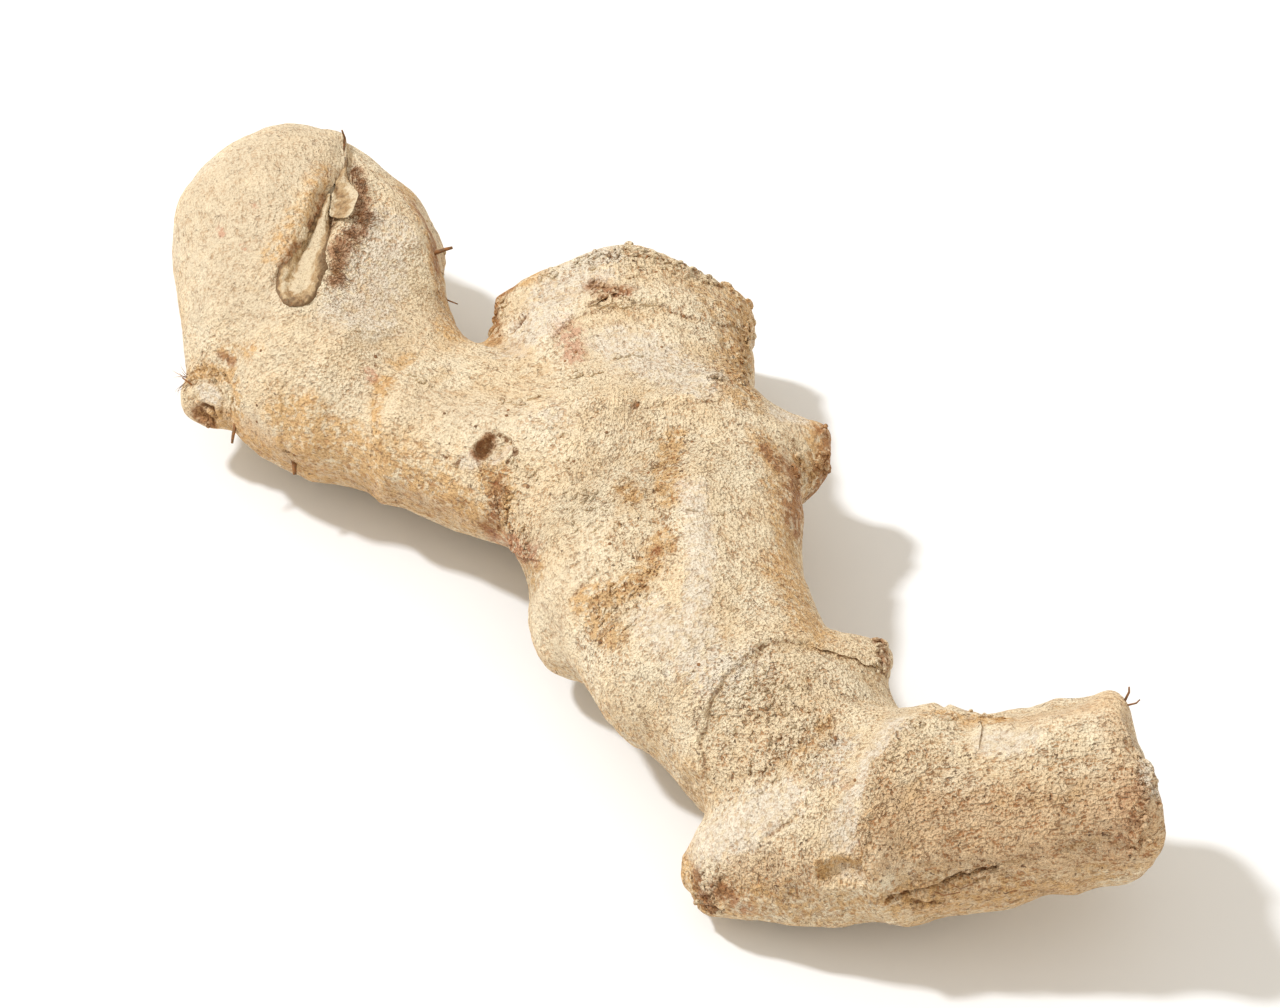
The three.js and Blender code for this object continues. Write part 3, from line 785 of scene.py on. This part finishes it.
def corky_sheet(name, table, across, thickness, tree, material):
    shape = Shape()
    shape.add_sheet(*sheet_rows(table, across, tree), thickness)
    piece = shape.build(name)
    finer(piece, levels=3)
    wrinkle(piece, size=1.3, height=0.22, seed=31)
    points = points_of(piece.data)
    rise = np.array([tree.find_nearest(point)[3] for point in points])
    # Parts of the sheet near the skin count as hollows and raised parts as crests, for painted shade and
    # painted highlight
    store(piece.data, "hollow", 1 - 2 * smooth(0.1, 1.3, rise + 0.4 * noise(points, 0.8, seed=33)))
    finish_piece(piece, material)


def flake_rows(flake, tree):
    """A flake's places and outward directions, row by row, from its buried side to its free edge."""
    pixels = fill_run(flake.run, 1.5)
    spots = [place_on(tree, pixel) for pixel in pixels]
    last = len(spots) - 1
    rows, ups = [], []
    for i, (place, normal) in enumerate(spots):
        ahead = spots[min(i + 1, last)][0] - spots[max(i - 1, 0)][0]
        leftward = normal.cross(ahead).normalized()
        ends = float(smooth(0, 0.2, i / last) * smooth(1, 0.8, i / last))
        ragged = 1 + 0.9 * noise(np.array([place]), 1.3, seed=12)[0]
        width = flake.width * (0.3 + 0.7 * ends)
        row, row_ups = [], []
        for part in (1, 0.66, 0.33, 0):  # of its width, down to the free edge
            surface, up, _, _ = tree.find_nearest(place + leftward * width * (part - 0.25 * ragged))
            lift = flake.lift * ends * ragged * (1 - part) ** 1.5
            row.append(surface + up * (lift + 0.05 - 0.2 * part))
            row_ups.append(up)
        rows.append(row)
        ups.append(row_ups)
    return rows, ups


def scattered(group, spacing, tree, random):
    """Random places about a group's run, each with the outward direction there."""
    pixels = fill_run(group.run, spacing)
    for _ in range(group.number):
        pixel = np.array(pixels[random.integers(len(pixels))]) + random.normal(0, group.spread / 2, 2)
        yield place_on(tree, pixel)


def add_crumbs(shape, crumbs, tree, random):
    for place, normal in scattered(crumbs, 2, tree, random):
        along = normal.cross(Vector(random.normal(0, 1, 3))).normalized()
        radius = crumbs.size * random.uniform(*CRUMB_RADII)
        half = along * radius * random.uniform(*CRUMB_STRETCH)
        centres = [place - half, place + normal * 0.45 * radius, place + half]
        shape.add_tube(centres, [0.4 * radius, radius, 0.3 * radius], sides=5)


def beside(pixel, place):
    """The point seen at a pixel that is as far from the photograph's camera as the place is."""
    ray = ray_through(pixel)
    return EYE + ray * ((place - EYE).dot(FORWARD) / ray.dot(FORWARD))


def fibre_centres(fibre, tree):
    """A fibre's middle line: it starts in the skin and leaves it for the pixels of its run."""
    root, normal = place_on(tree, fibre.run[0])
    centres = [root - normal * 0.3]
    for pixel in fibre.run[1:]:
        hit, up, _, _ = tree.ray_cast(EYE, ray_through(pixel))
        centres.append(hit + up * fibre.rise if hit else beside(pixel, root))
    return centres


def add_hairs(shape, tuft, tree, random):
    for place, normal in scattered(tuft, 1, tree, random):
        turn = random.normal(0, HAIR_TURN)
        lean_x, lean_y = tuft.lean
        across = lean_x * math.cos(turn) - lean_y * math.sin(turn)
        down = lean_x * math.sin(turn) + lean_y * math.cos(turn)
        start = (RIGHT * across - UP * down + normal * random.uniform(0.1, 0.5)).normalized()
        curl = Vector(random.normal(0, HAIR_CURL, 3)) - normal * 0.2
        length = random.uniform(*HAIR_LENGTHS)
        centres = [
            place - normal * 0.1 + (start + curl * part) * length * part for part in (0, 0.35, 0.7, 1)
        ]
        radius = random.uniform(*HAIR_RADII)
        shape.add_tube(centres, [radius, 0.9 * radius, 0.6 * radius, 0.15 * radius], sides=3)


# ---- Materials
def linear(red, green, blue):
    """A colour of 0 to 255 as the renderer counts it."""
    return tuple(
        c / 12.92 if c <= 0.04045 else ((c + 0.055) / 1.055) ** 2.4
        for c in (red / 255, green / 255, blue / 255)
    ) + (1,)


LIGHT = linear(234, 222, 195)
MEDIUM = linear(230, 211, 177)
PALE = linear(224, 216, 200)
GOLDEN = linear(209, 168, 110)
TAN = linear(206, 173, 132)
DUN = linear(212, 197, 170)
ROSY = linear(192, 130, 102)
BROWN = linear(158, 106, 60)
SHADE = linear(196, 148, 96)  # multiplies the colour: painted shade in the valleys, and darker flecks of the fine grain
GLEAM = (1.3, 1.28, 1.25, 1)  # multiplies the colour: painted highlight on the crests, and lighter flecks of the fine grain
CRACK = linear(148, 100, 56)
DARK = linear(126, 80, 42)
PORE = linear(100, 64, 34)
HAIR = linear(92, 64, 40)
ROOTLET = linear(112, 84, 56)
CORK_PALE = linear(206, 180, 140)
CORK_DARK = linear(176, 144, 104)
CORK_PAINTED_SHADE = linear(104, 76, 48)
CORK_PAINTED_HIGHLIGHT = linear(236, 222, 192)
LAYERS = [  # a kind of skin (golden, tan and brown are partly painted shade), its tint, how much of it shows, and the least and the most in its flecks
    ("tan", TAN, 0.8, 0.75, 1.2),
    ("golden", GOLDEN, 0.8, 0.2, 1.7),
    ("rosy", ROSY, 0.6, 0.2, 1.7),
    ("pale", PALE, 0.85, 0.2, 1.7),
    ("brown", BROWN, 0.8, 0.5, 1.5),
]


class Shader:
    """A material, and short ways to add the nodes that it is made of."""

    def __init__(self, name, colour):
        self.colour = colour
        self.material = bpy.data.materials.new(name)
        self.material.use_nodes = True
        self.tree = self.material.node_tree
        self.skin = self.tree.nodes["Principled BSDF"]
        self.places = self.add("ShaderNodeTexCoord").outputs["Object"]

    def add(self, kind, inputs=None, **settings):
        """A new node. Each input is a value, or the output that it is joined to."""
        made = self.tree.nodes.new(kind)
        for name, value in settings.items():
            setattr(made, name, value)
        for name, value in (inputs or {}).items():
            if isinstance(value, bpy.types.NodeSocket):
                self.tree.links.new(value, made.inputs[name])
            else:
                made.inputs[name].default_value = value
        return made

    def known(self, name):
        return self.add("ShaderNodeAttribute", attribute_name=name).outputs["Fac"]

    def grain(self):
        """Places in the squeezed space, in metres."""
        stored = self.add("ShaderNodeAttribute", attribute_name="grain").outputs["Vector"]
        scaled = {0: stored, "Scale": MM}
        return self.add("ShaderNodeVectorMath", scaled, operation="SCALE").outputs["Vector"]

    def noise(self, places, size, detail, rough=0.5):
        inputs = {"Vector": places, "Scale": 1 / (size * MM), "Detail": detail, "Roughness": rough}
        return self.add("ShaderNodeTexNoise", inputs).outputs["Fac"]

    def pebbles(self, places, size):
        """The distance from the nearest of many scattered points, 0 to about 1, and its own value."""
        made = self.add("ShaderNodeTexVoronoi", {"Vector": places, "Scale": 1 / (size * MM)})
        return made.outputs["Distance"], made.outputs["Color"]

    def shaken(self, places, size, reach):
        """Places that are moved about at random, by up to about the reach."""
        inputs = {"Vector": places, "Scale": 1 / (size * MM), "Detail": 2.0}
        moves = self.add("ShaderNodeTexNoise", inputs).outputs["Color"]
        moves = self.add("ShaderNodeVectorMath", {0: moves, 1: (0.5, 0.5, 0.5)}, operation="SUBTRACT")
        inputs = {0: moves.outputs["Vector"], 1: (2 * reach * MM,) * 3, 2: places}
        return self.add("ShaderNodeVectorMath", inputs, operation="MULTIPLY_ADD").outputs["Vector"]

    def span(self, value, low, high, to_low=0.0, to_high=1.0):
        """The value's smooth way from low to high, drawn out from to_low to to_high."""
        inputs = {"Value": value, "From Min": low, "From Max": high, "To Min": to_low, "To Max": to_high}
        return self.add("ShaderNodeMapRange", inputs, interpolation_type="SMOOTHSTEP").outputs["Result"]

    def math(self, operation, a, b):
        return self.add("ShaderNodeMath", {0: a, 1: b}, operation=operation).outputs["Value"]

    def times(self, a, b):
        return self.math("MULTIPLY", a, b)

    def lay(self, amount, colour, blend="MIX"):
        """Puts a colour on the one so far, by the amount of 0 to 1."""
        inputs = {"Factor": amount, 6: self.colour, 7: colour}  # 6 and 7 are its two colours
        made = self.add("ShaderNodeMix", inputs, data_type="RGBA", blend_type=blend)
        self.colour = made.outputs[2]

    def bump(self, height, depth):
        """Gives the material fine relief of that depth."""
        made = self.add("ShaderNodeBump", {"Height": height, "Distance": depth * MM})
        self.tree.links.new(made.outputs["Normal"], self.skin.inputs["Normal"])

    def finish(self, roughness):
        self.tree.links.new(self.colour, self.skin.inputs["Base Color"])
        self.tree.links.new(roughness, self.skin.inputs["Roughness"])
        return self.material


def skin_material():
    mat = Shader("ginger_skin", LIGHT)
    places, grain = mat.places, mat.grain()
    rough, hollow = mat.known("rough"), mat.known("hollow")
    clouds = mat.noise(places, 9, detail=3, rough=0.6)
    mottle = mat.noise(places, 2.4, detail=4, rough=0.65)
    flecks = mat.noise(places, 1.1, detail=3, rough=0.65)
    grit = mat.noise(places, 0.5, detail=2, rough=0.6)
    dust = mat.noise(places, 0.25, detail=0)
    knobs = mat.noise(places, 0.42, detail=1)
    ridges = mat.noise(grain, 0.52, detail=1, rough=0.45)
    plates = mat.span(mat.noise(places, 3.4, detail=3, rough=0.6), 0.5, 0.53)
    grade = mat.span(rough, 0.1, 1, 0.45, 1)

    lumps, _ = mat.pebbles(places, 1.15)
    humps = mat.span(lumps, 0.8, 0.1, -0.5, 0.5)
    texture = -0.475  # takes the middle of what follows to about 0
    for value, weight in ((knobs, 0.5), (ridges, 0.4), (humps, 0.06), (plates, 0.05)):
        texture = mat.math("ADD", mat.times(value, weight), texture)

    def line_of(waves, width):
        """1 where a noise passes its middle, in lines of that width."""
        from_line = mat.math("ABSOLUTE", mat.math("SUBTRACT", waves, 0.5), 0)
        return mat.span(from_line, width, 0)

    # Thin broken cracks, most of them lengthwise
    lengthwise = line_of(mat.noise(grain, 1.5, detail=3, rough=0.6), 0.045)
    wandering = line_of(mat.noise(places, 3.2, detail=4, rough=0.6), 0.03)
    here = mat.times(lengthwise, mat.span(mottle, 0.53, 0.6))
    there = mat.times(wandering, mat.span(mottle, 0.47, 0.4))
    cracks = mat.times(mat.math("ADD", here, there), grade)

    # Ragged pores, in some of the cells only
    away, which = mat.pebbles(mat.shaken(places, 0.9, 0.9), 1.2)
    picked = mat.times(mat.span(which, 0.5, 0.55), grade)
    pores = mat.times(mat.span(away, 0.2, 0.12), picked)

    mat.lay(mat.span(clouds, 0.35, 0.65), MEDIUM)
    # Dun on the smoother skin: partly its own greyer tone, partly painted shade that dims the cap where
    # the light falls strongest
    mat.lay(mat.span(rough, 0.5, 0.15, 0, 0.85), DUN)
    for kind, tint, amount, least, most in LAYERS:
        broken = mat.times(mat.known(kind), mat.span(flecks, 0.35, 0.65, least, most))
        mat.lay(mat.span(broken, 0, 1, 0, amount), tint)
    mat.lay(mat.span(mottle, 0.52, 0.75, 0, 0.15), GOLDEN)
    # Painted warm shade in the valleys of the fine relief
    valleys = mat.times(mat.span(texture, -0.03, -0.15, 0, 0.8), grade)
    mat.lay(valleys, SHADE, "MULTIPLY")
    # Painted highlight on the crests of the fine relief
    crests = mat.times(mat.span(texture, 0.02, 0.14, 0, 0.4), grade)
    mat.lay(crests, GLEAM, "MULTIPLY")
    mat.lay(mat.span(dust, 0.5, 0.7, 0, 0.3), GLEAM, "MULTIPLY")
    mat.lay(mat.span(dust, 0.5, 0.3, 0, 0.22), SHADE, "MULTIPLY")
    # Painted warm shade in the hollows of the mesh, and painted highlight on its crests
    mat.lay(mat.span(hollow, 0.1, 1, 0, 0.3), GOLDEN)
    mat.lay(mat.span(hollow, -0.1, -1, 0, 0.25), GLEAM, "MULTIPLY")
    mat.lay(mat.times(cracks, 0.75), CRACK)
    mat.lay(mat.times(pores, 0.9), PORE)
    ink = mat.math("ADD", mat.known("dark"), mat.span(grit, 0.3, 0.7, -0.3, 0.3))
    mat.lay(mat.span(ink, 0.25, 0.65, 0, 0.75), DARK)

    relief = mat.times(texture, grade)
    relief = mat.math("SUBTRACT", relief, mat.times(cracks, 0.1))
    relief = mat.math("SUBTRACT", relief, mat.times(pores, 0.12))
    mat.bump(relief, 1.9)
    return mat.finish(mat.span(mottle, 0.3, 0.7, 0.62, 0.85))


def cork_material():
    mat = Shader("dry_bract", CORK_PALE)
    hollow = mat.known("hollow")
    streaks = mat.noise(mat.places, 1.3, detail=4, rough=0.7)
    grit = mat.noise(mat.places, 0.4, detail=2, rough=0.7)
    mat.lay(mat.span(streaks, 0.35, 0.65), CORK_DARK)
    # Painted shade where the sheet lies low against the skin, painted highlight on its raised rims
    mat.lay(mat.span(hollow, 0.0, 0.9, 0, 0.75), CORK_PAINTED_SHADE)
    mat.lay(mat.span(hollow, -0.2, -1, 0, 0.8), CORK_PAINTED_HIGHLIGHT)
    mat.lay(mat.span(grit, 0.46, 0.3, 0, 0.5), BROWN)
    mat.bump(grit, 0.5)
    return mat.finish(mat.span(streaks, 0.3, 0.7, 0.6, 0.85))


def thread_material(name, tint):
    mat = Shader(name, tint)
    stains = mat.noise(mat.places, 0.8, detail=3, rough=0.7)
    mat.lay(mat.span(stains, 0.35, 0.65), BROWN)
    mat.bump(stains, 0.2)
    return mat.finish(mat.span(stains, 0.3, 0.7, 0.6, 0.8))


# ---- Building it
cad_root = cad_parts["ginger_rhizome"]
cad_tree = tree_of(cad_root.data)
skin = fine_copy(cad_root, "ginger_skin", levels=2)
marks = [mark.run for mark in (*STEPS.values(), *STROKES.values())]
refine_near(skin, marks, MARK_REACH, cad_tree)
paint_skin(skin.data, cad_tree)
skin_shader = skin_material()
finish_piece(skin, skin_shader)
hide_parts("ginger_rhizome")
skin_tree = tree_of(skin.data)

cork = cork_material()
corky_sheet("dry_bract", BRACT, BRACT_ACROSS, BRACT_THICKNESS, skin_tree, cork)
corky_sheet("dry_flap", FLAP, FLAP_ACROSS, FLAP_THICKNESS, skin_tree, cork)

edges = Shape()
for flake in FLAKES:
    edges.add_sheet(*flake_rows(flake, skin_tree), FLAKE_THICKNESS)
random = np.random.default_rng(SEED)
for crumbs in CRUMBS:
    add_crumbs(edges, crumbs, skin_tree, random)
scale_edges = edges.build("scale_edges")
finer(scale_edges, levels=1)
wrinkle(scale_edges, size=0.9, height=0.06, seed=41)
describe(scale_edges.data, cad_tree)
finish_piece(scale_edges, skin_shader)

hairs = Shape()
for tuft in TUFTS:
    add_hairs(hairs, tuft, skin_tree, random)
finish_piece(hairs.build("root_hairs"), thread_material("root_hairs", HAIR))

threads = Shape()
for fibre in FIBRES:
    line = fibre_centres(fibre, skin_tree)
    radii = [fibre.radius * (1 - FIBRE_TAPER * i / len(line)) for i in range(len(line))]
    threads.add_tube(line, radii, sides=6)
for across, down, radius in SPECKS:
    place, normal = place_on(skin_tree, (across, down))
    tall = [place - normal * 0.1, place + normal * 0.04, place + normal * 0.1]
    threads.add_tube(tall, [radius, 0.9 * radius, 0.4 * radius], sides=7)
finish_piece(threads.build("rootlets_and_soil"), thread_material("rootlets", ROOTLET))


# ---- Floor, light and camera
KEY_PLACE = Vector((-1.15, 0.3, 1.8))  # in metres
KEY_SIZE = 0.18
KEY_POWER = 30.5  # in watts
FLOOR_SIZE = 6
FLOOR_COLOUR = (0.9, 0.93, 0.97, 1)
AIR_COLOUR = (1, 0.91, 0.785, 1)
AIR_STRENGTH = 0.8
LENS = 155  # the photograph's angle, closer in on the one root

bpy.ops.mesh.primitive_plane_add(size=FLOOR_SIZE)
floor = bpy.context.object
floor.name = "floor"
paper = bpy.data.materials.new("floor_paper")
paper.use_nodes = True
surface = paper.node_tree.nodes["Principled BSDF"]
surface.inputs["Base Color"].default_value = FLOOR_COLOUR
surface.inputs["Roughness"].default_value = 0.9
floor.data.materials.append(paper)

lamp = new_object("key", bpy.data.lights.new("key", "AREA"))
lamp.data.size = KEY_SIZE
lamp.data.energy = KEY_POWER
lamp.location = KEY_PLACE
lamp.rotation_euler = (-KEY_PLACE).to_track_quat("-Z", "Y").to_euler()

world = bpy.data.worlds.new("studio")
world.use_nodes = True
background = world.node_tree.nodes["Background"]
background.inputs["Color"].default_value = AIR_COLOUR
background.inputs["Strength"].default_value = AIR_STRENGTH
bpy.context.scene.world = world
bpy.context.scene.view_settings.view_transform = "Standard"

middle = (cad_box[0] + cad_box[1]) / 2
camera = new_object("camera", bpy.data.cameras.new("camera"))
camera.data.lens = LENS
camera.location = EYE * MM
camera.rotation_euler = (middle - camera.location).to_track_quat("-Z", "Y").to_euler()
bpy.context.scene.camera = camera
